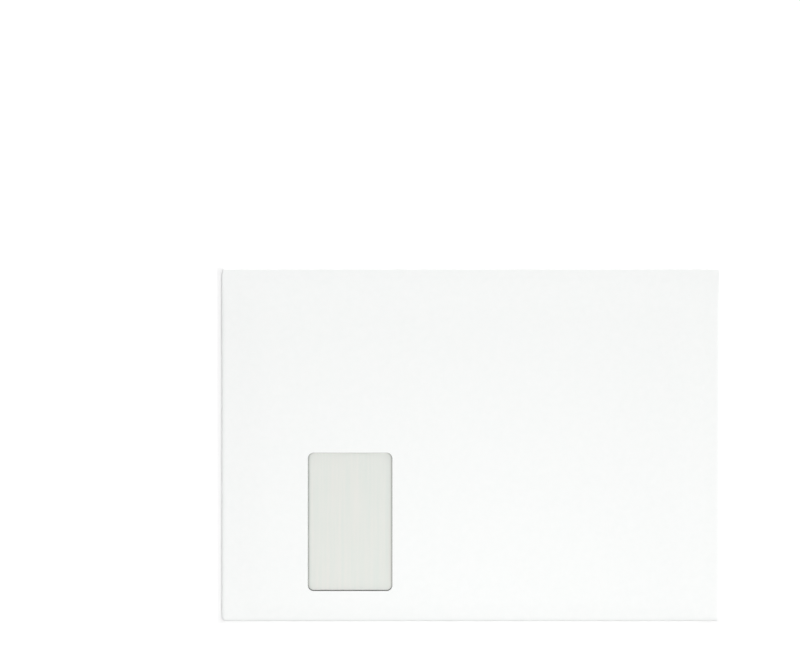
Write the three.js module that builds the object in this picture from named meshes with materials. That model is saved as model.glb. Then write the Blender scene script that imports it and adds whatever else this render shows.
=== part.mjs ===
// Window envelope, C4 landscape, in millimetres.
// One die-cut sheet of white paper makes the front, the back, both side flaps and the seal flap.
// The front looks along +Z, the flap fold is at +Y, and the closed envelope lies on z = 0.

import * as THREE from 'three';

// Folded size, from fold to fold
const WIDTH = 324;
const HEIGHT = 229;

// Thickness of each material
const PAPER = 0.15;
const FILM = 0.05;
const GUM = 0.03;
const ADHESIVE = 0.05;
const RELEASE_PAPER = 0.08;

// Window, measured from the left fold and from the bottom fold
const WINDOW_LEFT = 56;
const WINDOW_BOTTOM = 19.5;
const WINDOW_WIDTH = 55;
const WINDOW_HEIGHT = 90;
const WINDOW_CORNER = 3.75;
const PANE_MARGIN = 8;
const PANE_CORNER = 1;
const WINDOW_GUM_MARGIN = 1.5;

// Side flaps, folded in behind the front and gummed to the back
const SIDE_FLAP_WIDTH = 10.5;
const SIDE_FLAP_TOP = 2.8;
const SIDE_FLAP_TOP_FALL = 3.8;
const SIDE_FLAP_BOTTOM = 2.2;
const SIDE_FLAP_BOTTOM_RISE = 3.5;
const SIDE_FOLD_GAP = 0.17;
const SEAM_GUM_MARGIN = 1.2;

// Back panel, with its throat cut by the same knife line as the edge of the flap
const BACK_SIDE_INSET = 4;
const BACK_FOOT_RISE = 5;
const THROAT_DEPTH = 19.5;
const SHOULDER_RUN = 62.5;
const SHOULDER_ANGLE = THREE.MathUtils.degToRad(14.7);
const SHOULDER_RADIUS = 20;

// Seal flap, folded behind the back panel
const FLAP_DEPTH = 42.7;
const FLAP_SIDE_ANGLE = THREE.MathUtils.degToRad(15);
const FLAP_CORNER_RADIUS = 7.5;

// Relief cuts where the folds meet at the four corners
const TOP_CORNER_CUT = 0.9;
const BOTTOM_CORNER_CUT = 1.6;

// Peel-off strip over the self-adhesive band of the flap
const STRIP_FROM_FOLD = 9.2;
const STRIP_OVERHANG = 3.3;
const STRIP_END_INSET = 22;
const STRIP_CLEARANCE = 0.05;
const BAND_MARGIN = 3.8;
const BAND_END_INSET = 30;

// Rise of the front between its folds, and the bend of the back over the flap and strip
const CROWN = 0.6;
const CROWN_RAMP = 30;
const CROWN_STEPS = 6;
const PANE_LAND = 1;
const BEND_LENGTH = 17;
const BEND_MARGIN = 1.5;
const BEND_STEPS = 7;
const FOLD_STEPS = 6;
const ARC_DIVISIONS = 3;
const SNAP = 0.002;

// Heights of the middle of the paper, from the surface that the envelope lies on
const half = PAPER / 2;
const flapLevel = half;
const backLevel = half;
const backLift = PAPER + ADHESIVE + RELEASE_PAPER + STRIP_CLEARANCE;
const seamLevel = backLevel + half;
const sideFlapLevel = seamLevel + GUM + half;
const frontLevel = sideFlapLevel + backLift + PAPER + SIDE_FOLD_GAP;
const paneCeiling = frontLevel + CROWN - half;

// Folds: radius at the middle of the paper, its length, and where the flat panel ends
const foldRadius = (frontLevel - flapLevel) / 2;
const foldLength = Math.PI * foldRadius;
const foldReach = foldRadius + half;
const foldV = HEIGHT / 2 - foldReach;
const sideFoldRadius = half + SIDE_FOLD_GAP;
const sideFoldLength = Math.PI * sideFoldRadius;
const sideFoldReach = sideFoldRadius + half;
const sideFoldU = WIDTH / 2 - sideFoldReach;

// Window opening in the frame of the front panel
const windowX = -WIDTH / 2 + WINDOW_LEFT + WINDOW_WIDTH / 2;
const windowY = -HEIGHT / 2 + WINDOW_BOTTOM + WINDOW_HEIGHT / 2;

// Run of the crown from each fold, so that the pane lies on the level part of the front
const sideRamp = Math.min(CROWN_RAMP, WINDOW_LEFT - PANE_MARGIN - PANE_LAND);
const bottomRamp = Math.min(CROWN_RAMP, WINDOW_BOTTOM - PANE_MARGIN - PANE_LAND);
const topRamp = CROWN_RAMP;

// Bend of the back panel, just past the free edge of the peel-off strip
const bendTop = HEIGHT / 2 - FLAP_DEPTH - STRIP_OVERHANG - BEND_MARGIN;
const bendBottom = bendTop - BEND_LENGTH;

// A piece's distances from a fold, as distances along the flat sheet
const flapV = (depth) => foldV + foldLength + depth - foldReach;
const backV = (height) => -(foldV + foldLength + height - foldReach);
const sideU = (inset) => sideFoldU + sideFoldLength + inset - sideFoldReach;

const fractions = (steps) => Array.from({ length: steps + 1 }, (_, i) => i / steps);
const smooth = (value) => THREE.MathUtils.smoothstep(value, 0, 1);

function crownAt(x, y) {
  const fromSide = smooth((sideFoldU - Math.abs(x)) / sideRamp);
  const fromTop = smooth((foldV - y) / topRamp);
  const fromBottom = smooth((foldV + y) / bottomRamp);
  return CROWN * fromSide * fromTop * fromBottom;
}

function liftAt(y) {
  return backLift * smooth((y - bendBottom) / BEND_LENGTH);
}

// Depth of the shoulder line at a distance from the side fold, below its straight middle
function shoulderFall(inset) {
  return Math.max(0, SHOULDER_RUN - inset) * Math.tan(SHOULDER_ANGLE);
}

// Closed outline through corners, each rounded by its own radius
function roundedOutline(corners) {
  const shape = new THREE.Shape();
  corners.forEach(({ at, radius }, i) => {
    const before = corners.at(i - 1).at.clone().sub(at).normalize();
    const after = corners[(i + 1) % corners.length].at.clone().sub(at).normalize();
    if (!radius) {
      if (i === 0) shape.moveTo(at.x, at.y);
      else shape.lineTo(at.x, at.y);
      return;
    }
    const opening = before.angleTo(after) / 2;
    const centre = before.clone().add(after).normalize().multiplyScalar(radius / Math.sin(opening)).add(at);
    const start = before.clone().multiplyScalar(radius / Math.tan(opening)).add(at).sub(centre);
    const end = after.clone().multiplyScalar(radius / Math.tan(opening)).add(at).sub(centre);
    const clockwise = before.cross(after) > 0;
    shape.absarc(centre.x, centre.y, radius, start.angle(), end.angle(), clockwise);
  });
  shape.closePath();
  return shape;
}

function rectangle(x, y, width, height, radius = 0) {
  const signs = [[-1, -1], [1, -1], [1, 1], [-1, 1]];
  return roundedOutline(signs.map(([sx, sy]) => {
    return { at: new THREE.Vector2(x + sx * width / 2, y + sy * height / 2), radius };
  }));
}

// Outline of the flat blank: the back lies below the front, the seal flap above it
function blankOutline() {
  const backHalf = WIDTH / 2 - BACK_SIDE_INSET;
  const footHalf = WIDTH / 2 - BOTTOM_CORNER_CUT;
  const headHalf = WIDTH / 2 - TOP_CORNER_CUT;
  const straightHalf = WIDTH / 2 - SHOULDER_RUN;
  const backCornerDepth = THROAT_DEPTH - shoulderFall(BACK_SIDE_INSET);
  const sideBottom = -HEIGHT / 2 + SIDE_FLAP_BOTTOM;
  const sideTop = HEIGHT / 2 - SIDE_FLAP_TOP;

  // The flap's side and its shoulder meet where both lines have the same distance from the middle
  const sideSlope = Math.tan(FLAP_SIDE_ANGLE);
  const shoulderSlope = Math.tan(SHOULDER_ANGLE);
  const flapCornerX = (headHalf - sideSlope * (FLAP_DEPTH - foldReach + shoulderSlope * straightHalf))
    / (1 - sideSlope * shoulderSlope);
  const flapCornerDepth = FLAP_DEPTH - (flapCornerX - straightHalf) * shoulderSlope;

  const rightSide = [
    [straightHalf, backV(HEIGHT - THROAT_DEPTH), SHOULDER_RADIUS],
    [backHalf, backV(HEIGHT - backCornerDepth)],
    [backHalf, backV(BACK_FOOT_RISE)],
    [footHalf, backV(foldReach)],
    [footHalf, -foldV],
    [sideFoldU, sideBottom],
    [sideU(sideFoldReach), sideBottom],
    [sideU(SIDE_FLAP_WIDTH), sideBottom + SIDE_FLAP_BOTTOM_RISE],
    [sideU(SIDE_FLAP_WIDTH), sideTop - SIDE_FLAP_TOP_FALL],
    [sideU(sideFoldReach), sideTop],
    [sideFoldU, sideTop],
    [headHalf, foldV],
    [headHalf, flapV(foldReach)],
    [flapCornerX, flapV(flapCornerDepth), FLAP_CORNER_RADIUS],
    [straightHalf, flapV(FLAP_DEPTH), SHOULDER_RADIUS],
  ];
  const leftSide = rightSide.map(([u, v, radius]) => [-u, v, radius]).reverse();
  const middle = [0, backV(HEIGHT - THROAT_DEPTH)];
  const corners = [middle, ...rightSide, ...leftSide];
  return roundedOutline(corners.map(([u, v, radius]) => {
    return { at: new THREE.Vector2(u, v), radius };
  }));
}

// Values in order, with those closer than SNAP taken as one
function distinct(values) {
  const sorted = [...values].sort((a, b) => a - b);
  return sorted.filter((value, i) => i === 0 || value - sorted[i - 1] > SNAP);
}

// Stretches of one band between two levels that lie inside the outline
function spansBetween(edges, low, high) {
  const middle = (low + high) / 2;
  const sides = edges.filter(([a, b]) => a.y < middle && b.y > middle).map(([a, b]) => {
    const at = (level) => {
      const share = THREE.MathUtils.clamp((level - a.y) / (b.y - a.y), 0, 1);
      return THREE.MathUtils.lerp(a.x, b.x, share);
    };
    return { low: at(low), middle: at(middle), high: at(high) };
  });
  sides.sort((a, b) => a.middle - b.middle);
  return Array.from({ length: sides.length / 2 }, (_, i) => {
    const left = sides[2 * i];
    const right = sides[2 * i + 1];
    return { low: [left.low, right.low], high: [left.high, right.high] };
  });
}

// Sheet cut to an outline and then folded: place(u, v, face) puts a point of the flat sheet in
// space, with face 1 on its outside and -1 on its inside. Levels and columns are its bend lines.
function foldedSheet(outline, levels, columnsAt, place) {
  const { shape, holes } = outline.extractPoints(ARC_DIVISIONS);
  const edges = [shape, ...holes].flatMap((loop) => loop.map((point, i) => {
    const next = loop[(i + 1) % loop.length];
    return point.y < next.y ? [point, next] : [next, point];
  })).filter(([a, b]) => b.y - a.y > SNAP);

  const cuts = distinct(edges.flat().map((point) => point.y));
  const bends = levels.filter((level) => cuts.every((cut) => Math.abs(cut - level) > SNAP));
  const rows = distinct([...cuts, ...bends]).map((v) => ({ v, spans: [] }));
  const bands = rows.slice(1).map((row, i) => spansBetween(edges, rows[i].v, row.v));
  bands.forEach((spans, i) => spans.forEach((span) => {
    rows[i].spans.push(span.low);
    rows[i + 1].spans.push(span.high);
  }));

  const positions = [];
  rows.forEach((row) => {
    const ends = distinct(row.spans.flat());
    const inside = columnsAt(row.v).filter((u) => {
      return row.spans.some(([left, right]) => u > left && u < right)
        && ends.every((end) => Math.abs(end - u) > SNAP);
    });
    row.points = distinct([...ends, ...inside]).map((u) => {
      const index = positions.length / 6;
      positions.push(...place(u, row.v, 1), ...place(u, row.v, -1));
      return { u, index };
    });
  });

  const faces = [];
  const within = (row, [left, right]) => {
    return row.points.filter(({ u }) => u > left - 2 * SNAP && u < right + 2 * SNAP);
  };
  bands.forEach((spans, i) => spans.forEach((span) => {
    const low = within(rows[i], span.low);
    const high = within(rows[i + 1], span.high);
    let a = 0;
    let b = 0;
    while (a < low.length - 1 || b < high.length - 1) {
      const alongLow = b === high.length - 1 || (a < low.length - 1 && low[a + 1].u <= high[b + 1].u);
      if (alongLow) {
        faces.push([low[a].index, low[a + 1].index, high[b].index]);
        a += 1;
      } else {
        faces.push([low[a].index, high[b + 1].index, high[b].index]);
        b += 1;
      }
    }
  }));
  return closedSheet(positions, faces);
}

// Both faces of a sheet, and a wall along each cut edge
function closedSheet(positions, faces) {
  const outer = (index) => 2 * index;
  const inner = (index) => 2 * index + 1;
  const used = new Set();
  const indices = [];
  faces.forEach(([a, b, c]) => {
    indices.push(outer(a), outer(b), outer(c), inner(a), inner(c), inner(b));
    [[a, b], [b, c], [c, a]].forEach(([from, to]) => used.add(`${from} ${to}`));
  });
  used.forEach((edge) => {
    const [from, to] = edge.split(' ').map(Number);
    if (used.has(`${to} ${from}`)) return;
    indices.push(outer(to), outer(from), inner(from), outer(to), inner(from), inner(to));
  });
  const geometry = new THREE.BufferGeometry();
  geometry.setAttribute('position', new THREE.Float32BufferAttribute(positions, 3));
  geometry.setIndex(indices);
  return geometry;
}

// Round of a fold: how far out it reaches and how high it stands, at a share of its length
function foldRound(share, across, up, face) {
  const angle = Math.PI * share;
  return [(across + face * half) * Math.sin(angle), (up + face * half) * Math.cos(angle)];
}

function placeBlank(u, v, face) {
  const past = Math.abs(v) - foldV;
  const sidePast = Math.abs(u) - sideFoldU;
  if (past > 0) {
    const sign = Math.sign(v);
    if (past < foldLength) {
      const [out, up] = foldRound(past / foldLength, foldRadius, foldRadius, face);
      return [u, sign * (foldV + out), flapLevel + foldRadius + up];
    }
    const y = sign * (foldV + foldLength - past);
    const level = sign > 0 ? flapLevel : backLevel + liftAt(y);
    return [u, y, level - face * half];
  }
  if (sidePast > 0) {
    const sign = Math.sign(u);
    const level = sideFlapLevel + liftAt(v);
    if (sidePast < sideFoldLength) {
      const rise = (frontLevel - level) / 2;
      const [out, up] = foldRound(sidePast / sideFoldLength, sideFoldRadius, rise, face);
      return [sign * (sideFoldU + out), v, level + rise + up];
    }
    return [sign * (sideFoldU + sideFoldLength - sidePast), v, level - face * half];
  }
  return [u, v, frontLevel + crownAt(u, v) + face * half];
}

const bendLevels = fractions(BEND_STEPS).map((share) => bendBottom + share * BEND_LENGTH);

function foldedBlank() {
  const outline = blankOutline();
  outline.holes.push(rectangle(windowX, windowY, WINDOW_WIDTH, WINDOW_HEIGHT, WINDOW_CORNER));
  const foldLevels = fractions(FOLD_STEPS).map((share) => foldV + share * foldLength);
  const levels = [
    ...foldLevels,
    ...foldLevels.map((level) => -level),
    ...fractions(CROWN_STEPS).map((share) => foldV - share * topRamp),
    ...fractions(CROWN_STEPS).map((share) => -foldV + share * bottomRamp),
    ...bendLevels,
    ...bendLevels.map((y) => backV(y + HEIGHT / 2)),
  ];
  const rightColumns = [
    ...fractions(CROWN_STEPS).map((share) => sideFoldU - share * sideRamp),
    ...fractions(FOLD_STEPS).map((share) => sideFoldU + share * sideFoldLength),
  ];
  const columns = distinct([...rightColumns, ...rightColumns.map((u) => -u)]);
  const columnsAt = (v) => (Math.abs(v) < foldV + SNAP ? columns : []);
  return foldedSheet(outline, levels, columnsAt, placeBlank);
}

// Gum line between a side flap and the back panel, bent as they are
function seamGum(sign) {
  const outerX = WIDTH / 2 - BACK_SIDE_INSET - SEAM_GUM_MARGIN;
  const innerX = WIDTH / 2 - SIDE_FLAP_WIDTH + SEAM_GUM_MARGIN;
  const bottom = -HEIGHT / 2 + SIDE_FLAP_BOTTOM + SIDE_FLAP_BOTTOM_RISE + SEAM_GUM_MARGIN;
  const top = HEIGHT / 2 - SIDE_FLAP_TOP - SIDE_FLAP_TOP_FALL - SEAM_GUM_MARGIN;
  const centreX = sign * (outerX + innerX) / 2;
  const line = rectangle(centreX, (bottom + top) / 2, outerX - innerX, top - bottom);
  const place = (x, y, face) => [x, y, seamLevel + liftAt(y) + (face > 0 ? GUM : 0)];
  return foldedSheet(line, bendLevels, () => [], place);
}

function plate(shape, thickness, bottom) {
  const geometry = new THREE.ExtrudeGeometry(shape, {
    depth: thickness,
    bevelEnabled: false,
    curveSegments: ARC_DIVISIONS,
  });
  return geometry.translate(0, 0, bottom);
}

const windowShape = (margin, corner) => {
  return rectangle(windowX, windowY, WINDOW_WIDTH + 2 * margin, WINDOW_HEIGHT + 2 * margin, corner);
};

// Frame of gum round the window, on the inside of the front
function windowGum() {
  const shape = windowShape(PANE_MARGIN - WINDOW_GUM_MARGIN, PANE_CORNER);
  shape.holes.push(windowShape(WINDOW_GUM_MARGIN, WINDOW_CORNER + WINDOW_GUM_MARGIN));
  return plate(shape, GUM, paneCeiling - GUM);
}

function windowPane() {
  return plate(windowShape(PANE_MARGIN, PANE_CORNER), FILM, paneCeiling - GUM - FILM);
}

// Piece of the flap's seal, from one depth to another below the flap fold
function flapPlate(endInset, nearDepth, farDepth, thickness, bottom) {
  const centreY = HEIGHT / 2 - (nearDepth + farDepth) / 2;
  const shape = rectangle(0, centreY, WIDTH - 2 * endInset, farDepth - nearDepth);
  return plate(shape, thickness, bottom);
}

function flapAdhesive() {
  const farDepth = FLAP_DEPTH - shoulderFall(BAND_END_INSET) - BAND_MARGIN;
  return flapPlate(BAND_END_INSET, STRIP_FROM_FOLD + BAND_MARGIN, farDepth, ADHESIVE, PAPER);
}

function releaseStrip() {
  const farDepth = FLAP_DEPTH + STRIP_OVERHANG;
  return flapPlate(STRIP_END_INSET, STRIP_FROM_FOLD, farDepth, RELEASE_PAPER, PAPER + ADHESIVE);
}

const whitePaper = { color: 0xf6f8f6, roughness: 0.85, metalness: 0 };
const clearFilm = { color: 0xe6e8e3, roughness: 0.12, metalness: 0, transparent: true, opacity: 0.4 };
const dryGum = { color: 0xe2ded0, roughness: 0.5, metalness: 0 };
const sealAdhesive = { color: 0xe9e6da, roughness: 0.3, metalness: 0 };
const siliconePaper = { color: 0xe9ebe6, roughness: 0.45, metalness: 0 };

function piece(name, geometry, finish) {
  geometry.computeVertexNormals();
  const mesh = new THREE.Mesh(geometry, new THREE.MeshStandardMaterial(finish));
  mesh.name = name;
  return mesh;
}

const envelope = new THREE.Group();
envelope.add(
  piece('folded_blank', foldedBlank(), whitePaper),
  piece('window_pane', windowPane(), clearFilm),
  piece('window_gum', windowGum(), dryGum),
  piece('side_seam_gum_left', seamGum(-1), dryGum),
  piece('side_seam_gum_right', seamGum(1), dryGum),
  piece('flap_adhesive', flapAdhesive(), sealAdhesive),
  piece('release_strip', releaseStrip(), siliconePaper),
);

export default envelope;
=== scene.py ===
import math

import bmesh
import bpy
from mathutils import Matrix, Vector


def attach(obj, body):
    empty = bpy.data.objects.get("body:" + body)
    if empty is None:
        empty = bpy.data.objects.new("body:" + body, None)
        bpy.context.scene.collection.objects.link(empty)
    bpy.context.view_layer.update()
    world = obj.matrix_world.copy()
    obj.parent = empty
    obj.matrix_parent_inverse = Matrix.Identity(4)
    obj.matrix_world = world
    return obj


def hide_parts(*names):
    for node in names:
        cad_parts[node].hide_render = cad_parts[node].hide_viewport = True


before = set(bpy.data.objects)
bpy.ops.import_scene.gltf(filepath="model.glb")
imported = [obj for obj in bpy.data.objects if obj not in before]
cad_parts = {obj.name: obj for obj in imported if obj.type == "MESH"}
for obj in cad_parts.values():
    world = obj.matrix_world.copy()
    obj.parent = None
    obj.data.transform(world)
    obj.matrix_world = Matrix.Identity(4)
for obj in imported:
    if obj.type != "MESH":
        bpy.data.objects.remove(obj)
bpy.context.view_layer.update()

# Folded blank: one sheet of 120 g/m2 white wood-free paper, die-cut with its window opening.
# It is creased along four lines and folded into front, back, side flaps and seal flap, and its
# inside carries a pale grey-green security tint that stops short of the edges.
MM = 0.001
WIDTH = 324 * MM
HEIGHT = 229 * MM
PAPER = 0.15 * MM
GUM = 0.03 * MM
FRONT_HEIGHT = 0.905 * MM

FOLD_RADIUS = (FRONT_HEIGHT - PAPER / 2) / 2
FOLD_REACH = FOLD_RADIUS + PAPER / 2
FOLD_LINE = HEIGHT / 2 - FOLD_REACH
SIDE_FOLD_RADIUS = 0.245 * MM
SIDE_FOLD_REACH = SIDE_FOLD_RADIUS + PAPER / 2
SIDE_FOLD_LINE = WIDTH / 2 - SIDE_FOLD_REACH

SHOULDER_RUN = 62.5 * MM
SHOULDER_SLOPE = math.tan(math.radians(14.7))
STRAIGHT = WIDTH / 2 - SHOULDER_RUN
WINDOW_SIZE = Vector((55 * MM, 90 * MM))
WINDOW_CENTRE = Vector((-WIDTH / 2 + 56 * MM, -HEIGHT / 2 + 19.5 * MM)) + WINDOW_SIZE / 2
WINDOW_CORNER = 3.75 * MM
ARC_STEPS = 10


def flap_v(depth):
    """Place along the flat sheet of a point of the seal flap, by its depth below the flap fold."""
    return FOLD_LINE + math.pi * FOLD_RADIUS + depth - FOLD_REACH


def back_v(height):
    """Place along the flat sheet of a point of the back, by its height above the bottom fold."""
    return -(FOLD_LINE + math.pi * FOLD_RADIUS + height - FOLD_REACH)


def side_u(inset):
    """Place across the flat sheet of a point of a side flap, by its distance inside the fold."""
    return SIDE_FOLD_LINE + math.pi * SIDE_FOLD_RADIUS + inset - SIDE_FOLD_REACH


def rounded(corners):
    """Points of a closed outline whose corners (x, y, radius) are rounded where they say so."""
    points = []
    for i, (x, y, radius) in enumerate(corners):
        corner = Vector((x, y))
        if not radius:
            points.append(corner)
            continue
        before = (Vector(corners[i - 1][:2]) - corner).normalized()
        after = (Vector(corners[(i + 1) % len(corners)][:2]) - corner).normalized()
        half_angle = before.angle(after) / 2
        centre = corner + (before + after).normalized() * radius / math.sin(half_angle)
        start = corner + before * radius / math.tan(half_angle) - centre
        end = corner + after * radius / math.tan(half_angle) - centre
        for step in range(ARC_STEPS + 1):
            spoke = start.lerp(end, step / ARC_STEPS).normalized() * radius
            points.append(centre + spoke)
    return points


def blank_outline():
    """Outline of the die-cut sheet: the back below the front, the seal flap above it."""
    side_slope = math.tan(math.radians(15))
    throat = 19.5 * MM
    throat_round = 20 * MM
    flap_depth = 42.7 * MM
    flap_round = 7.5 * MM
    flap_side = 10.5 * MM
    back_inset = 4 * MM
    back_foot = 5 * MM
    back_foot_round = 2 * MM
    small_round = 0.6 * MM
    foot = WIDTH / 2 - 1.6 * MM
    head = WIDTH / 2 - 0.9 * MM
    side_bottom = -HEIGHT / 2 + 2.2 * MM
    side_bottom_taper = 3.5 * MM
    side_top = HEIGHT / 2 - 2.8 * MM
    side_top_taper = 3.8 * MM
    back_half = WIDTH / 2 - back_inset
    back_top = HEIGHT - throat + (SHOULDER_RUN - back_inset) * SHOULDER_SLOPE
    corner_x = head - side_slope * (flap_depth - FOLD_REACH + SHOULDER_SLOPE * STRAIGHT)
    corner_x /= 1 - side_slope * SHOULDER_SLOPE
    right = [
        (STRAIGHT, back_v(HEIGHT - throat), throat_round),
        (back_half, back_v(back_top), small_round),
        (back_half, back_v(back_foot), back_foot_round),
        (foot, back_v(FOLD_REACH), 0),
        (foot, -FOLD_LINE, 0),
        (SIDE_FOLD_LINE, side_bottom, 0),
        (side_u(SIDE_FOLD_REACH), side_bottom, 0),
        (side_u(flap_side), side_bottom + side_bottom_taper, small_round),
        (side_u(flap_side), side_top - side_top_taper, small_round),
        (side_u(SIDE_FOLD_REACH), side_top, 0),
        (SIDE_FOLD_LINE, side_top, 0),
        (head, FOLD_LINE, 0),
        (head, flap_v(FOLD_REACH), 0),
        (corner_x, flap_v(flap_depth - (corner_x - STRAIGHT) * SHOULDER_SLOPE), flap_round),
        (STRAIGHT, flap_v(flap_depth), throat_round),
    ]
    left = [(-x, y, radius) for x, y, radius in reversed(right)]
    return rounded(right + left)


def window_outline():
    """Outline of the opening, an upright oblong with small round corners."""
    half_x, half_y = WINDOW_SIZE / 2
    signs = ((-1, -1), (1, -1), (1, 1), (-1, 1))
    return rounded([
        (WINDOW_CENTRE.x + sx * half_x, WINDOW_CENTRE.y + sy * half_y, WINDOW_CORNER)
        for sx, sy in signs
    ])


def spread(start, stop, step):
    """Even places from start to stop, both left out, no further apart than a step."""
    count = math.ceil(abs(stop - start) / step)
    return [start + (stop - start) * i / count for i in range(1, count)]


def flat_blank():
    """The sheet before folding: its outline filled, then scored into cells, finest at the folds."""
    mesh = bmesh.new()
    loops = [
        [mesh.verts.new((point.x, point.y, 0)) for point in outline]
        for outline in (blank_outline(), window_outline())
    ]
    rims = [mesh.edges.new((loop[i - 1], loop[i])) for loop in loops for i in range(len(loop))]
    bmesh.ops.triangle_fill(mesh, use_beauty=True, edges=rims, normal=(0, 0, 1))
    fold_end = FOLD_LINE + math.pi * FOLD_RADIUS
    side_end = SIDE_FOLD_LINE + math.pi * SIDE_FOLD_RADIUS
    fold_step = 0.1 * MM
    side_fold_step = 0.07 * MM
    near_step = 0.3 * MM
    near = 2.1 * MM
    cell = 3.5 * MM
    past_flap = flap_v(43 * MM)
    half_rows = [FOLD_LINE, fold_end]
    half_rows += spread(FOLD_LINE - near, FOLD_LINE, near_step)
    half_rows += spread(FOLD_LINE, fold_end, fold_step)
    rows = half_rows + [-v for v in half_rows] + spread(-FOLD_LINE, FOLD_LINE, cell)
    rows += spread(-fold_end, back_v(HEIGHT), cell) + spread(fold_end, past_flap, cell)
    half_columns = [SIDE_FOLD_LINE, side_end]
    half_columns += spread(SIDE_FOLD_LINE - near, SIDE_FOLD_LINE, near_step)
    half_columns += spread(SIDE_FOLD_LINE, side_end, side_fold_step)
    columns = half_columns + [-u for u in half_columns] + spread(-SIDE_FOLD_LINE, SIDE_FOLD_LINE, cell)
    for places, axis in ((rows, Vector((0, 1, 0))), (columns, Vector((1, 0, 0)))):
        for place in places:
            geometry = mesh.verts[:] + mesh.edges[:] + mesh.faces[:]
            bmesh.ops.bisect_plane(
                mesh, geom=geometry, dist=1e-7, plane_co=axis * place, plane_no=axis)
    flat = mesh.loops.layers.uv.new("blank")
    for face in mesh.faces:
        if face.normal.z < 0:
            face.normal_flip()
        for loop in face.loops:
            loop[flat].uv = loop.vert.co.xy
    data = bpy.data.meshes.new("folded_blank")
    mesh.to_mesh(data)
    mesh.free()
    return data


def add(tree, kind, inputs=(), **settings):
    """Adds a node with its settings and its inputs, values or links, and gives its outputs."""
    node = tree.nodes.new(kind)
    for name, value in settings.items():
        setattr(node, name, value)
    for key, value in inputs.items() if isinstance(inputs, dict) else enumerate(inputs):
        if isinstance(value, bpy.types.NodeSocket):
            tree.links.new(value, node.inputs[key])
        else:
            node.inputs[key].default_value = value
    return node.outputs


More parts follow.
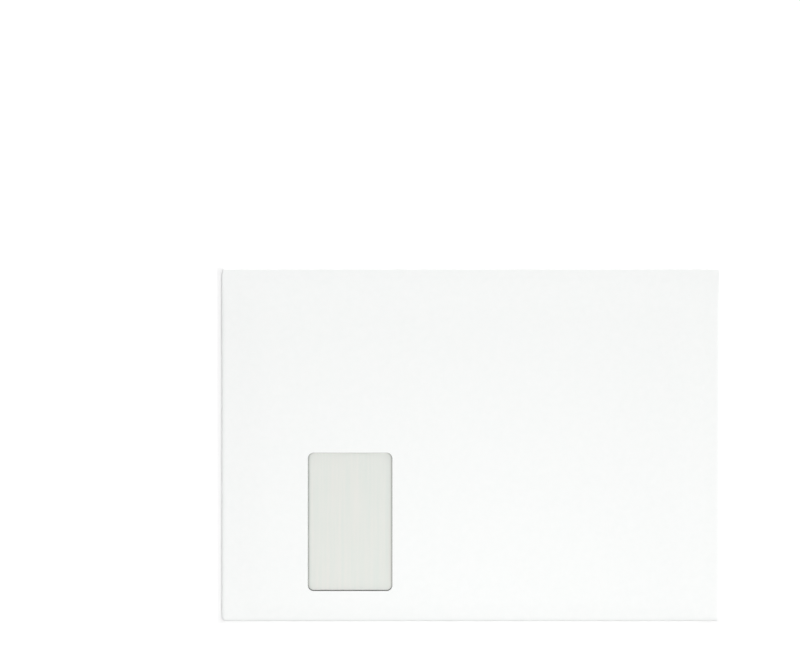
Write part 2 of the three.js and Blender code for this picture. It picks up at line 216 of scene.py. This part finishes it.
def fold_tree():
    """Rolls each part of a flat blank round its fold line, and crowns the front between them.

    The front springs up steeply just inside the side folds and the bottom fold, and goes on rising
    over the ramps. The back is lifted where it lies on the flap, and the cockle dips the front
    away from the window.
    """
    tree = bpy.data.node_groups.new("fold_envelope", "GeometryNodeTree")
    tree.is_modifier = True
    tree.interface.new_socket("Blank", in_out="INPUT", socket_type="NodeSocketGeometry")
    for name in (
        "Fold line", "Fold radius", "Side fold line", "Side fold radius", "Front height",
        "Side flap height", "Back lift", "Bend foot", "Bend length", "Crown", "Side ramp",
        "Top ramp", "Bottom ramp", "Spring", "Spring width", "Top spring width", "Cockle",
        "Cockles per metre", "Cockle seed", "Calm radius", "Calm margin",
    ):
        tree.interface.new_socket(name, in_out="INPUT", socket_type="NodeSocketFloat")
    tree.interface.new_socket("Window centre", in_out="INPUT", socket_type="NodeSocketVector")
    tree.interface.new_socket("Paper", in_out="INPUT", socket_type="NodeSocketMaterial")
    tree.interface.new_socket("Envelope", in_out="OUTPUT", socket_type="NodeSocketGeometry")
    given = {socket.name: socket for socket in add(tree, "NodeGroupInput")}

    def ramp(at, start, length, shape="SMOOTHSTEP"):
        """0 before start, growing to 1 over a length."""
        end = add(tree, "ShaderNodeMath", [start, length], operation="ADD")[0]
        return add(tree, "ShaderNodeMapRange", [at, start, end, 0.0, 1.0], interpolation_type=shape)[0]

    def rolled(along, line, radius):
        """A place along the folded sheet, from one along the flat sheet, and how far it is turned."""
        away = add(tree, "ShaderNodeMath", [along], operation="ABSOLUTE")[0]
        length = add(tree, "ShaderNodeMath", [radius, math.pi], operation="MULTIPLY")[0]
        angle = ramp(away, line, length, "LINEAR")
        angle = add(tree, "ShaderNodeMath", [angle, math.pi], operation="MULTIPLY")[0]
        beyond = add(tree, "ShaderNodeMath", [away, line], operation="SUBTRACT")[0]
        beyond = add(tree, "ShaderNodeMath", [beyond, length], operation="SUBTRACT")[0]
        beyond = add(tree, "ShaderNodeMath", [beyond, 0.0], operation="MAXIMUM")[0]
        bulge = add(tree, "ShaderNodeMath", [angle], operation="SINE")[0]
        bulge = add(tree, "ShaderNodeMath", [bulge, radius], operation="MULTIPLY")[0]
        out = add(tree, "ShaderNodeMath", [away, line], operation="MINIMUM")[0]
        out = add(tree, "ShaderNodeMath", [out, bulge], operation="ADD")[0]
        out = add(tree, "ShaderNodeMath", [out, beyond], operation="SUBTRACT")[0]
        side = add(tree, "ShaderNodeMath", [along], operation="SIGN")[0]
        out = add(tree, "ShaderNodeMath", [side, out], operation="MULTIPLY")[0]
        turned = add(tree, "ShaderNodeMath", [angle], operation="COSINE")[0]
        turned = add(tree, "ShaderNodeMath", [1.0, turned], operation="SUBTRACT")[0]
        return out, turned

    place = add(tree, "GeometryNodeInputPosition")[0]
    u, v, _ = add(tree, "ShaderNodeSeparateXYZ", [place])
    y, turned_back = rolled(v, given["Fold line"], given["Fold radius"])
    x, turned_in = rolled(u, given["Side fold line"], given["Side fold radius"])

    lift = ramp(y, given["Bend foot"], given["Bend length"])
    lift = add(tree, "ShaderNodeMath", [lift, given["Back lift"]], operation="MULTIPLY")[0]
    bottom_line = add(tree, "ShaderNodeMath", [given["Fold line"], -1.0], operation="MULTIPLY")[0]
    is_back = add(tree, "ShaderNodeMath", [v, bottom_line], operation="LESS_THAN")[0]
    back_rise = add(tree, "ShaderNodeMath", [lift, is_back], operation="MULTIPLY")[0]
    side_level = add(tree, "ShaderNodeMath", [given["Side flap height"], lift], operation="ADD")[0]
    side_radius = add(tree, "ShaderNodeMath", [given["Front height"], side_level], operation="SUBTRACT")[0]
    side_radius = add(tree, "ShaderNodeMath", [side_radius, 0.5], operation="MULTIPLY")[0]

    from_middle = add(tree, "ShaderNodeMath", [u], operation="ABSOLUTE")[0]
    side_inset = add(tree, "ShaderNodeMath", [given["Side fold line"], from_middle], operation="SUBTRACT")[0]
    top_inset = add(tree, "ShaderNodeMath", [given["Fold line"], v], operation="SUBTRACT")[0]
    foot_inset = add(tree, "ShaderNodeMath", [given["Fold line"], v], operation="ADD")[0]
    crowned = ramp(side_inset, 0.0, given["Side ramp"])
    near_top = ramp(top_inset, 0.0, given["Top ramp"])
    near_foot = ramp(foot_inset, 0.0, given["Bottom ramp"])
    crowned = add(tree, "ShaderNodeMath", [crowned, near_top], operation="MULTIPLY")[0]
    crowned = add(tree, "ShaderNodeMath", [crowned, near_foot], operation="MULTIPLY")[0]

    inset = add(tree, "ShaderNodeMath", [side_inset, foot_inset], operation="MINIMUM")[0]
    still_low = ramp(inset, 0.0, given["Spring width"], "LINEAR")
    still_low = add(tree, "ShaderNodeMath", [1.0, still_low], operation="SUBTRACT")[0]
    still_low = add(tree, "ShaderNodeMath", [still_low, still_low], operation="MULTIPLY")[0]
    spring = add(tree, "ShaderNodeMath", [1.0, still_low], operation="SUBTRACT")[0]
    clear_of_top = ramp(top_inset, 0.0, given["Top spring width"])
    spring = add(tree, "ShaderNodeMath", [spring, clear_of_top], operation="MULTIPLY")[0]
    spring = add(tree, "ShaderNodeMath", [spring, given["Spring"]], operation="MULTIPLY")[0]

    from_window = add(tree, "ShaderNodeVectorMath", [place, given["Window centre"]], operation="DISTANCE")
    wavy = ramp(from_window["Value"], given["Calm radius"], given["Calm margin"])
    dip = add(tree, "ShaderNodeTexNoise", {
        "W": given["Cockle seed"], "Scale": given["Cockles per metre"], "Detail": 1.0},
        noise_dimensions="4D")[0]
    dip = add(tree, "ShaderNodeMath", [dip, given["Cockle"]], operation="MULTIPLY")[0]
    dip = add(tree, "ShaderNodeMath", [dip, wavy], operation="MULTIPLY")[0]

    rise = add(tree, "ShaderNodeMath", [given["Crown"], given["Spring"]], operation="SUBTRACT")[0]
    rise = add(tree, "ShaderNodeMath", [rise, dip], operation="SUBTRACT")[0]
    rise = add(tree, "ShaderNodeMath", [crowned, rise], operation="MULTIPLY")[0]
    rise = add(tree, "ShaderNodeMath", [spring, rise], operation="ADD")[0]

    fold_drop = add(tree, "ShaderNodeMath", [turned_back, given["Fold radius"]], operation="MULTIPLY")[0]
    side_drop = add(tree, "ShaderNodeMath", [turned_in, side_radius], operation="MULTIPLY")[0]
    z = add(tree, "ShaderNodeMath", [given["Front height"], fold_drop], operation="SUBTRACT")[0]
    z = add(tree, "ShaderNodeMath", [z, side_drop], operation="SUBTRACT")[0]
    z = add(tree, "ShaderNodeMath", [z, rise], operation="ADD")[0]
    z = add(tree, "ShaderNodeMath", [z, back_rise], operation="ADD")[0]
    folded_place = add(tree, "ShaderNodeCombineXYZ", [x, y, z])[0]
    folded = add(tree, "GeometryNodeSetPosition", {
        "Geometry": given["Blank"], "Position": folded_place})[0]
    real = add(tree, "GeometryNodeRealizeInstances", [folded])[0]
    done = add(tree, "GeometryNodeSetMaterial", {"Geometry": real, "Material": given["Paper"]})[0]
    add(tree, "NodeGroupOutput", [done])
    return tree


def run_tree(piece, tree, values):
    """Gives a piece a Geometry Nodes modifier and sets its inputs by their names."""
    modifier = piece.modifiers.new(tree.name, "NODES")
    modifier.node_group = tree
    for item in tree.interface.items_tree:
        if item.in_out == "INPUT" and item.name in values:
            modifier[item.identifier] = values[item.name]


def bake(piece):
    """Turns what a piece's modifiers make of it into its own plain mesh."""
    bpy.context.view_layer.update()
    graph = bpy.context.evaluated_depsgraph_get()
    made = bpy.data.meshes.new_from_object(
        piece.evaluated_get(graph), preserve_all_data_layers=True, depsgraph=graph)
    piece.modifiers.clear()
    piece.data = made


def linear(hex_colour):
    """Linear RGBA of an sRGB hex colour."""
    channels = [int(hex_colour[i:i + 2], 16) / 255 for i in (1, 3, 5)]
    return [c / 12.92 if c <= 0.04045 else ((c + 0.055) / 1.055) ** 2.4 for c in channels] + [1.0]


def new_material(name):
    """A material with an empty node tree, and that tree."""
    material = bpy.data.materials.new(name)
    material.use_nodes = True
    material.node_tree.nodes.clear()
    return material, material.node_tree


WHITE_PAPER = linear("#f7f9f8")
FIBRE_CLOUD = 3.85 * MM
# A tooth of real fibre width, about 0.03 mm, would not show, so it is drawn coarser.
TOOTH = 0.555 * MM
TOOTH_DEPTH = 0.05 * MM


def matt_paper(tree, place, colour):
    """Finishes a paper's tree: calendered and matt in the colour given, with a fine tooth."""
    tooth = add(tree, "ShaderNodeTexNoise", {
        "Vector": place, "Scale": 1 / TOOTH, "Detail": 4.0, "Roughness": 0.6})["Fac"]
    bump = add(tree, "ShaderNodeBump", {
        "Strength": 0.12, "Distance": TOOTH_DEPTH, "Height": tooth})[0]
    shader = add(tree, "ShaderNodeBsdfPrincipled", {
        "Base Color": colour, "Roughness": 0.85, "Specular IOR Level": 0.3, "Normal": bump})[0]
    add(tree, "ShaderNodeOutputMaterial", [shader])


def white_wove_paper():
    """Calendered white paper, faintly cloudy where the fibres lie thicker."""
    material, tree = new_material("white_wove_paper")
    place = add(tree, "ShaderNodeTexCoord")["Object"]
    cloud = add(tree, "ShaderNodeTexNoise", {
        "Vector": place, "Scale": 1 / FIBRE_CLOUD, "Detail": 3.0})["Fac"]
    colour = add(tree, "ShaderNodeMix", {
        "Factor": cloud, "A": WHITE_PAPER, "B": linear("#fcfdfc")}, data_type="RGBA")["Result"]
    matt_paper(tree, place, colour)
    return material


def tinted_inside():
    """The inside of the sheet: a pale grey-green security tint of lines, with white margins."""
    # Real tint lines are finer than this spacing, which is as coarse as they need to show.
    line_spacing = 3.17 * MM
    # The wave node repeats each 2 pi / 10 of x + y, so this scale sets the lines at their spacing.
    line_scale = 2 * math.pi / (10 * math.sqrt(2) * line_spacing)
    side_margin = 6.5 * MM
    flap_margin_slope = 0.6
    printed_flap_depth = 28.3 * MM
    material, tree = new_material("security_tint_print")
    flat = add(tree, "ShaderNodeUVMap", uv_map="blank")["UV"]
    lines = add(tree, "ShaderNodeTexWave", {
        "Vector": flat, "Scale": line_scale, "Distortion": 3.0, "Detail": 1.0, "Detail Scale": 0.4},
        bands_direction="DIAGONAL")["Fac"]
    tint = add(tree, "ShaderNodeMix", {
        "Factor": lines, "A": linear("#dae0da"), "B": linear("#e2e7e2")}, data_type="RGBA")["Result"]

    u, v, _ = add(tree, "ShaderNodeSeparateXYZ", [flat])
    from_middle = add(tree, "ShaderNodeMath", [u], operation="ABSOLUTE")[0]
    side_start = WIDTH / 2 - side_margin
    from_side = add(tree, "ShaderNodeMath", [side_start, from_middle], operation="SUBTRACT")[0]
    up_flap = add(tree, "ShaderNodeMath", [v, FOLD_LINE], operation="SUBTRACT")[0]
    up_flap = add(tree, "ShaderNodeMath", [up_flap, 0.0], operation="MAXIMUM")[0]
    widening = add(tree, "ShaderNodeMath", [up_flap, flap_margin_slope], operation="MULTIPLY")[0]
    from_side = add(tree, "ShaderNodeMath", [from_side, widening], operation="SUBTRACT")[0]
    shoulder = add(tree, "ShaderNodeMath", [from_middle, STRAIGHT], operation="SUBTRACT")[0]
    shoulder = add(tree, "ShaderNodeMath", [shoulder, SHOULDER_SLOPE], operation="MULTIPLY")[0]
    shoulder = add(tree, "ShaderNodeMath", [shoulder, 0.0], operation="MAXIMUM")[0]
    flap_edge = flap_v(printed_flap_depth)
    from_end = add(tree, "ShaderNodeMath", [flap_edge, shoulder], operation="SUBTRACT")[0]
    from_end = add(tree, "ShaderNodeMath", [from_end, v], operation="SUBTRACT")[0]
    from_margin = add(tree, "ShaderNodeMath", [from_side, from_end], operation="MINIMUM")[0]
    printed = add(tree, "ShaderNodeMath", [from_margin, 0.0], operation="GREATER_THAN")[0]
    colour = add(tree, "ShaderNodeMix", {
        "Factor": printed, "A": WHITE_PAPER, "B": tint}, data_type="RGBA")["Result"]
    matt_paper(tree, flat, colour)
    return material


def cut_edge():
    """The die-cut edge: bare fibres, with painted shade that makes it greyer than the calendered faces."""
    fibre_tuft = 0.417 * MM
    material, tree = new_material("die_cut_paper_edge")
    place = add(tree, "ShaderNodeTexCoord")["Object"]
    fibres = add(tree, "ShaderNodeTexNoise", {
        "Vector": place, "Scale": 1 / fibre_tuft, "Detail": 2.0})["Fac"]
    # The grey of these two tones is painted shade on the cut edge; their mottling is the bare fibres.
    colour = add(tree, "ShaderNodeMix", {
        "Factor": fibres, "A": linear("#d6d9d5"), "B": linear("#e8eae6")}, data_type="RGBA")["Result"]
    shader = add(tree, "ShaderNodeBsdfPrincipled", {
        "Base Color": colour, "Roughness": 0.95, "Specular IOR Level": 0.2})[0]
    add(tree, "ShaderNodeOutputMaterial", [shader])
    return material


paper_outside = white_wove_paper()
blank = bpy.data.objects.new("folded_sheet", flat_blank())
bpy.context.scene.collection.objects.link(blank)
run_tree(blank, fold_tree(), {
    "Fold line": FOLD_LINE,
    "Fold radius": FOLD_RADIUS,
    "Side fold line": SIDE_FOLD_LINE,
    "Side fold radius": SIDE_FOLD_RADIUS,
    "Front height": FRONT_HEIGHT,
    "Side flap height": 1.5 * PAPER + GUM,
    "Back lift": 0.33 * MM,
    "Bend foot": HEIGHT / 2 - 64.5 * MM,
    "Bend length": 17 * MM,
    "Crown": 0.6 * MM,
    "Side ramp": 30 * MM,
    "Top ramp": 30 * MM,
    "Bottom ramp": 10.5 * MM,
    "Spring": 0.22 * MM,
    "Spring width": 2 * MM,
    "Top spring width": 30 * MM,
    "Cockle": 0.1 * MM,
    "Cockles per metre": 11.0,
    "Cockle seed": 4.0,
    "Calm radius": 68 * MM,
    "Calm margin": 50 * MM,
    "Window centre": (*WINDOW_CENTRE, 0.0),
    "Paper": paper_outside,
})
bake(blank)
thickness = blank.modifiers.new("paper", "SOLIDIFY")
thickness.thickness = PAPER
thickness.offset = 0
thickness.material_offset = 1
thickness.material_offset_rim = 2
bake(blank)
blank.data.materials.clear()
for material in (paper_outside, tinted_inside(), cut_edge()):
    blank.data.materials.append(material)
blank.data.shade_smooth()
blank.data.set_sharp_from_angle(angle=math.radians(45))
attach(blank, "root")
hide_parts("folded_blank")

# Window pane: polystyrene film laid over the opening from inside and held by its margin. It is
# glossy and a little cloudy, drawn from the roll with faint streaks up it. Painted shade makes it grey
# along the long sides of the opening, and a painted shadow makes it dark in a thin line along the bottom
# one.
STREAK_WIDTH = 1.92 * MM
STREAK_LENGTH = 62.5 * MM
RIPPLE_DEPTH = 0.1 * MM
# Painted shade along the long sides of the opening, a little lighter on the right, and a painted shadow line
# along its bottom edge.
PAINTED_SIDE_SHADE_START = -0.6 * MM
PAINTED_SIDE_SHADE_END = 1.9 * MM
RIGHT_PAINTED_SHADE = 0.86
BOTTOM_SHADOW_LINE_START = 0.5 * MM
BOTTOM_SHADOW_LINE_END = 0.8 * MM
BOTTOM_SHADOW_LINE_COVER = 0.9
CLOUDINESS = 0.45


def inside_opening(tree, towards, along, half_towards, half_along):
    """Distance from an edge of the opening, followed round the corners at its two ends."""
    past = add(tree, "ShaderNodeMath", [along], operation="ABSOLUTE")[0]
    past = add(tree, "ShaderNodeMath", [past, half_along - WINDOW_CORNER], operation="SUBTRACT")[0]
    past = add(tree, "ShaderNodeMath", [past, 0.0], operation="MAXIMUM")[0]
    past = add(tree, "ShaderNodeMath", [past, WINDOW_CORNER], operation="MINIMUM")[0]
    square = add(tree, "ShaderNodeMath", [past, past], operation="MULTIPLY")[0]
    rise = add(tree, "ShaderNodeMath", [WINDOW_CORNER ** 2, square], operation="SUBTRACT")[0]
    rise = add(tree, "ShaderNodeMath", [rise], operation="SQRT")[0]
    round_off = add(tree, "ShaderNodeMath", [WINDOW_CORNER, rise], operation="SUBTRACT")[0]
    inside = add(tree, "ShaderNodeMath", [half_towards, towards], operation="SUBTRACT")[0]
    return add(tree, "ShaderNodeMath", [inside, round_off], operation="SUBTRACT")[0]


def refinish(material, *names):
    """Puts a material on CAD nodes in place of their plain one."""
    for name in names:
        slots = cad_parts[name].data.materials
        slots.clear()
        slots.append(material)


film, tree = new_material("cast_polystyrene_film")
place = add(tree, "ShaderNodeTexCoord")["Object"]
stretched = add(tree, "ShaderNodeMapping", {
    "Vector": place, "Scale": (1 / STREAK_WIDTH, 1 / STREAK_LENGTH, 1.0)})[0]
streaks = add(tree, "ShaderNodeTexNoise", {"Vector": stretched, "Scale": 1.0, "Detail": 3.0})["Fac"]
streaks = add(tree, "ShaderNodeMapRange", [streaks, 0.32, 0.68, 0.0, 1.0])[0]
ripple = add(tree, "ShaderNodeBump", {
    "Strength": 0.2, "Distance": RIPPLE_DEPTH, "Height": streaks})[0]

centre = (*WINDOW_CENTRE, 0.0)
from_centre = add(tree, "ShaderNodeVectorMath", [place, centre], operation="SUBTRACT")[0]
across, up, _ = add(tree, "ShaderNodeSeparateXYZ", [from_centre])
sideways = add(tree, "ShaderNodeMath", [across], operation="ABSOLUTE")[0]
down = add(tree, "ShaderNodeMath", [up, -1.0], operation="MULTIPLY")[0]
from_side = inside_opening(tree, sideways, up, WINDOW_SIZE.x / 2, WINDOW_SIZE.y / 2)
from_bottom = inside_opening(tree, down, across, WINDOW_SIZE.y / 2, WINDOW_SIZE.x / 2)
# Painted shade: the film is painted grey near the long sides of the opening, less on the right.
painted_shade_share = add(tree, "ShaderNodeMapRange", [across, -MM, MM, 1.0, RIGHT_PAINTED_SHADE])[0]
painted_side_shade = add(tree, "ShaderNodeMapRange", [
    from_side, PAINTED_SIDE_SHADE_START, PAINTED_SIDE_SHADE_END, 1.0, 0.0], interpolation_type="SMOOTHSTEP")[0]
painted_side_shade = add(tree, "ShaderNodeMath", [painted_side_shade, painted_shade_share], operation="MULTIPLY")[0]
# Painted shadow: a thin dark line along the bottom of the opening, where the film is also made less clear.
bottom_line = add(tree, "ShaderNodeMapRange", [
    from_bottom, BOTTOM_SHADOW_LINE_START, BOTTOM_SHADOW_LINE_END, 1.0, 0.0], interpolation_type="SMOOTHSTEP")[0]

clear_tone = add(tree, "ShaderNodeMix", {
    "Factor": streaks, "A": linear("#f5faf5"), "B": linear("#fdfcf7")}, data_type="RGBA")["Result"]
# The grey and the near-black below are painted shade and painted shadow, not the film's own colour.
painted_shade_tone = add(tree, "ShaderNodeMix", {
    "Factor": painted_side_shade, "A": clear_tone, "B": linear("#878c86")}, data_type="RGBA")["Result"]
film_tone = add(tree, "ShaderNodeMix", {
    "Factor": bottom_line, "A": painted_shade_tone, "B": linear("#3c403b")}, data_type="RGBA")["Result"]
# The painted shadow line also makes the film more opaque along the bottom edge.
shadow_line_cover = add(tree, "ShaderNodeMath", [bottom_line, BOTTOM_SHADOW_LINE_COVER], operation="MULTIPLY")[0]
cover = add(tree, "ShaderNodeMath", [CLOUDINESS, shadow_line_cover], operation="MAXIMUM")[0]
shader = add(tree, "ShaderNodeBsdfPrincipled", {
    "Base Color": film_tone, "Roughness": 0.14, "IOR": 1.59, "Alpha": cover, "Normal": ripple})[0]
add(tree, "ShaderNodeOutputMaterial", [shader])
refinish(film, "window_pane")

# Gum lines: the frame of gum round the window and the seam along each side flap. They are dried
# dextrin, laid on by a wheel, thin enough to show the paper through and a little yellow.
GUM_BEAD = 1.11 * MM
gum, tree = new_material("dried_dextrin_gum")
place = add(tree, "ShaderNodeTexCoord")["Object"]
beads = add(tree, "ShaderNodeTexNoise", {
    "Vector": place, "Scale": 1 / GUM_BEAD, "Detail": 2.0})["Fac"]
colour = add(tree, "ShaderNodeMix", {
    "Factor": beads, "A": linear("#dcd8c8"), "B": linear("#ebe8dc")}, data_type="RGBA")["Result"]
shader = add(tree, "ShaderNodeBsdfPrincipled", {"Base Color": colour, "Roughness": 0.4})[0]
add(tree, "ShaderNodeOutputMaterial", [shader])
refinish(gum, "window_gum", "side_seam_gum_left", "side_seam_gum_right")

# Flap adhesive: a band of clear pressure-sensitive adhesive on the inside of the seal flap.
# It stays tacky under its strip, and is glossy with a slight cream tone.
FLOW_LENGTH = 6.25 * MM
FLOW_DEPTH = 0.1 * MM
tack, tree = new_material("clear_seal_adhesive")
place = add(tree, "ShaderNodeTexCoord")["Object"]
flow = add(tree, "ShaderNodeTexNoise", {
    "Vector": place, "Scale": 1 / FLOW_LENGTH, "Detail": 2.0})["Fac"]
bump = add(tree, "ShaderNodeBump", {"Strength": 0.3, "Distance": FLOW_DEPTH, "Height": flow})[0]
shader = add(tree, "ShaderNodeBsdfPrincipled", {
    "Base Color": linear("#e9e6da"), "Roughness": 0.25, "Normal": bump})[0]
add(tree, "ShaderNodeOutputMaterial", [shader])
refinish(tack, "flap_adhesive")

# Release strip: glassine coated with silicone, peeled off before sealing. It is smoother and
# greyer than the envelope's paper, with a soft sheen.
GLASSINE_CLOUD = 3.125 * MM
release, tree = new_material("silicone_release_paper")
place = add(tree, "ShaderNodeTexCoord")["Object"]
cloud = add(tree, "ShaderNodeTexNoise", {
    "Vector": place, "Scale": 1 / GLASSINE_CLOUD, "Detail": 3.0})["Fac"]
colour = add(tree, "ShaderNodeMix", {
    "Factor": cloud, "A": linear("#e6e8e3"), "B": linear("#ecede9")}, data_type="RGBA")["Result"]
shader = add(tree, "ShaderNodeBsdfPrincipled", {"Base Color": colour, "Roughness": 0.38})[0]
add(tree, "ShaderNodeOutputMaterial", [shader])
refinish(release, "release_strip")

# Table, light and camera: a white table that keeps the envelope's shadow, daylight and two soft
# suns, one high and one low, that are stronger from the top right, a small lamp above the lower
# part of the envelope, and a camera that looks straight down.
TABLE_REACH = 4.0
TABLE_GLOW = 0.25
SHADOW_FALL = Vector((2.4 * MM, 1.4 * MM, 0.0))
SHADED_HALF = Vector((WIDTH / 2, HEIGHT / 2, 0.0)) + SHADOW_FALL / 2
WHITE_FROM = 3.5 * MM


def seen_or_mirrored(tree):
    """1 for what the camera sees, straight on or through gloss and film, and 0 for light."""
    ray = add(tree, "ShaderNodeLightPath")
    mirrored = add(tree, "ShaderNodeMath", [
        ray["Is Glossy Ray"], ray["Is Transmission Ray"]], operation="MAXIMUM")[0]
    return add(tree, "ShaderNodeMath", [ray["Is Camera Ray"], mirrored], operation="MAXIMUM")[0]


white, tree = new_material("white_table")
place = add(tree, "ShaderNodeTexCoord")["Object"]
place = add(tree, "ShaderNodeVectorMath", [place, SHADOW_FALL / 2], operation="ADD")[0]
place = add(tree, "ShaderNodeVectorMath", [place], operation="ABSOLUTE")[0]
past_shade = add(tree, "ShaderNodeVectorMath", [place, SHADED_HALF], operation="SUBTRACT")[0]
past_x, past_y, _ = add(tree, "ShaderNodeSeparateXYZ", [past_shade])
past_edge = add(tree, "ShaderNodeMath", [past_x, past_y], operation="MAXIMUM")[0]
glow = add(tree, "ShaderNodeMapRange", [
    past_edge, 0.0, WHITE_FROM, 0.0, TABLE_GLOW], interpolation_type="SMOOTHSTEP")[0]
glow = add(tree, "ShaderNodeMath", [seen_or_mirrored(tree), glow], operation="MULTIPLY")[0]
shader = add(tree, "ShaderNodeBsdfPrincipled", {
    "Base Color": (1, 1, 1, 1), "Roughness": 1.0, "Specular IOR Level": 0.0,
    "Emission Color": (1, 1, 1, 1), "Emission Strength": glow})[0]
add(tree, "ShaderNodeOutputMaterial", [shader])
corners = [(x * TABLE_REACH, y * TABLE_REACH, 0) for x, y in ((-1, -1), (1, -1), (1, 1), (-1, 1))]
table_mesh = bpy.data.meshes.new("table")
table_mesh.from_pydata(corners, [], [(0, 1, 2, 3)])
table_mesh.materials.append(white)
table = bpy.data.objects.new("table", table_mesh)
bpy.context.scene.collection.objects.link(table)

DAYLIGHT = 0.37
DAYLIGHT_FROM = (0.8, 0.6, 0.0)
world = bpy.data.worlds.new("daylight")
bpy.context.scene.world = world
world.use_nodes = True
tree = world.node_tree
tree.nodes.clear()
outward = add(tree, "ShaderNodeTexCoord")["Generated"]
lean = add(tree, "ShaderNodeVectorMath", [outward, DAYLIGHT_FROM], operation="DOT_PRODUCT")["Value"]
daylight = add(tree, "ShaderNodeMath", [lean, DAYLIGHT, DAYLIGHT], operation="MULTIPLY_ADD")[0]
strength = add(tree, "ShaderNodeMix", {
    "Factor": seen_or_mirrored(tree), "A": daylight, "B": 1.0})["Result"]
sky = add(tree, "ShaderNodeBackground", {"Color": (1, 1, 1, 1), "Strength": strength})[0]
add(tree, "ShaderNodeOutputWorld", [sky])

for name, energy, softness, sun_from in (
    ("high_sun", 1.567, 20, Vector((0.33, 0.33, 1.0))),
    ("low_sun", 0.42, 25, Vector((0.85, 0.3, 0.45))),
):
    light = bpy.data.lights.new(name, "SUN")
    light.energy = energy
    light.angle = math.radians(softness)
    sun = bpy.data.objects.new(name, light)
    sun.rotation_euler = sun_from.to_track_quat("Z", "Y").to_euler()
    bpy.context.scene.collection.objects.link(sun)

light = bpy.data.lights.new("lower_lamp", "AREA")
light.shape = "DISK"
light.size = 100 * MM
light.energy = 0.36
lamp = bpy.data.objects.new("lower_lamp", light)
lamp.location = (30 * MM, -200 * MM, 500 * MM)
bpy.context.scene.collection.objects.link(lamp)

# A pixel is a length on the table, and the centres are places in the photograph in pixels.
PIXEL = 0.6515 * MM
PHOTO_CENTRE = Vector((400, 333))
ENVELOPE_CENTRE = Vector((470.65, 444.85))
lens = bpy.data.cameras.new("camera")
lens.lens = 85.0
lens.sensor_width = 36.0
camera = bpy.data.objects.new("camera", lens)
aim = (PHOTO_CENTRE - ENVELOPE_CENTRE) * PIXEL
distance = 2 * PHOTO_CENTRE.x * PIXEL * lens.lens / lens.sensor_width
camera.location = (aim.x, -aim.y, distance)
bpy.context.scene.collection.objects.link(camera)
bpy.context.scene.camera = camera
bpy.context.scene.view_settings.view_transform = "Standard"
